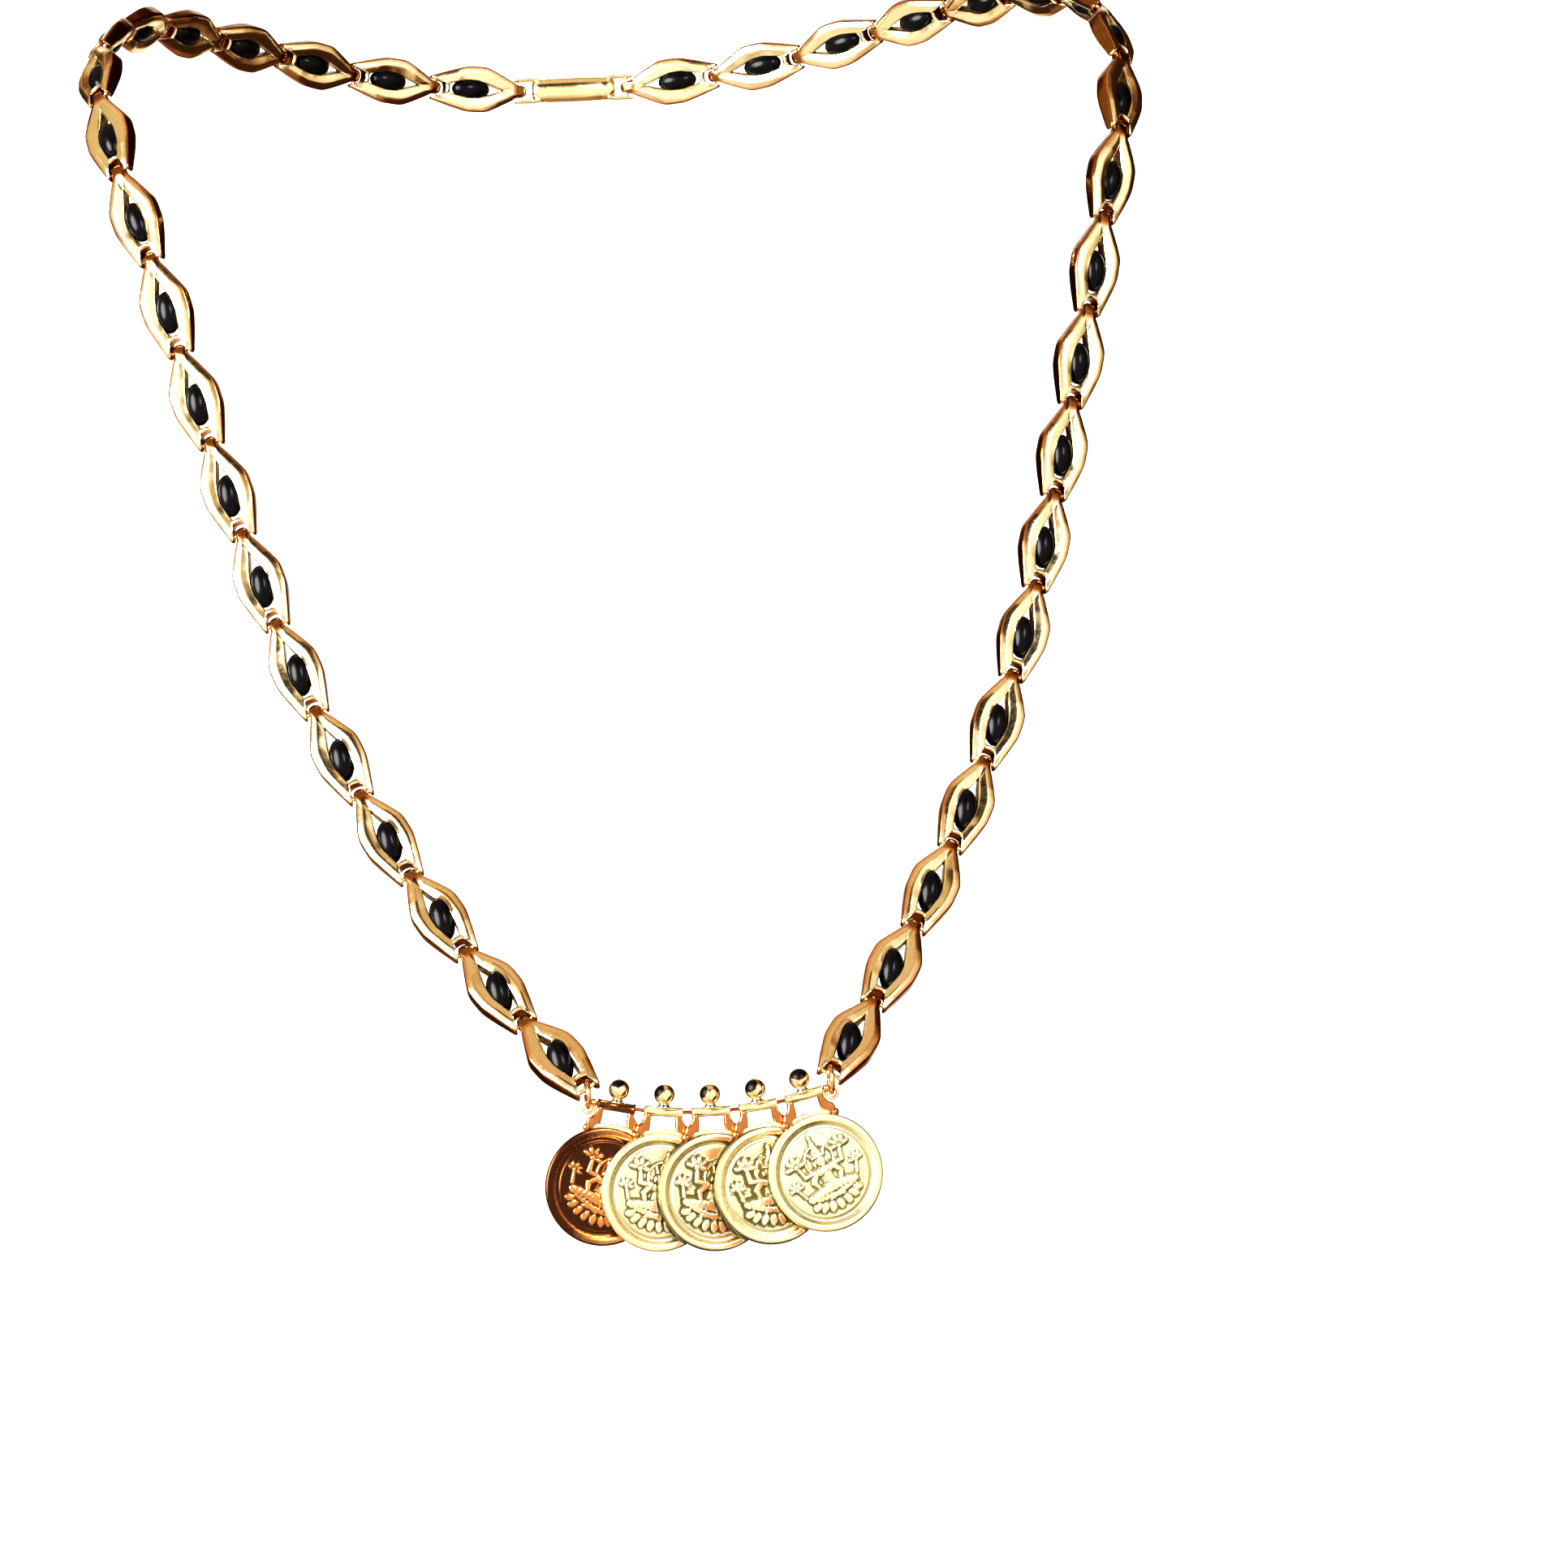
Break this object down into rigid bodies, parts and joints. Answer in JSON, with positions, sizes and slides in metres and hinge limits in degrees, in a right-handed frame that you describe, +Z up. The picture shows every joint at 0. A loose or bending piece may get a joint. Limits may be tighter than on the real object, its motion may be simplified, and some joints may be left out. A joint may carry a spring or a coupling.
{
  "type": "mangalsutra necklace",
  "caption": "Worn necklace loop of open six-sided gilt links, each round a black oval bead, with a row of overlapping round coins hung from a thin wire at the front.",
  "frame": {"origin": "the middle of the clasp's inner side, where it rests on the nape of the neck", "axes": "+Z up, -Y the way the wearer faces, +X towards the wearer's left, which is the right of the picture"},
  "size_m": [0.132, 0.1127, 0.1595],
  "materials": {
    "gilt": "polished pale gold plate",
    "black_glass": "opaque, glossy"
  },
  "bodies": {
    "necklace": {"clasp": "gilt", "end_ring_left": "gilt", "end_ring_right": "gilt", "link_left_1": "gilt", "link_left_2": "gilt", "link_left_3": "gilt", "link_left_4": "gilt", "link_left_5": "gilt", "link_left_6": "gilt", "link_left_7": "gilt", "link_left_8": "gilt", "link_left_9": "gilt", "link_left_10": "gilt", "link_right_1": "gilt", "link_right_2": "gilt", "link_right_3": "gilt", "link_right_4": "gilt", "link_right_5": "gilt", "link_right_6": "gilt", "link_right_7": "gilt", "link_right_8": "gilt", "link_right_9": "gilt", "link_right_10": "gilt", "bead_left_1": "black_glass", "bead_left_2": "black_glass", "bead_left_3": "black_glass", "bead_left_4": "black_glass", "bead_left_5": "black_glass", "bead_left_6": "black_glass", "bead_left_7": "black_glass", "bead_left_8": "black_glass", "bead_left_9": "black_glass", "bead_left_10": "black_glass", "bead_right_1": "black_glass", "bead_right_2": "black_glass", "bead_right_3": "black_glass", "bead_right_4": "black_glass", "bead_right_5": "black_glass", "bead_right_6": "black_glass", "bead_right_7": "black_glass", "bead_right_8": "black_glass", "bead_right_9": "black_glass", "bead_right_10": "black_glass", "side_links_left": "gilt", "side_beads_left": "black_glass", "nape_links_left": "gilt", "nape_beads_left": "black_glass", "side_links_right": "gilt", "side_beads_right": "black_glass", "nape_links_right": "gilt", "nape_beads_right": "black_glass"},
    "coin_row": {"row_wire": "gilt", "coin_1": "gilt", "coin_2": "gilt", "coin_3": "gilt", "coin_4": "gilt", "coin_5": "gilt"}
  },
  "joints": [
    {"name": "row_swing", "type": "hinge", "parent": "necklace", "child": "coin_row", "pos_m": [0, -0.10837, -0.13266], "axis": [1, 0, 0], "range_deg": [-75, 40]}
  ]
}
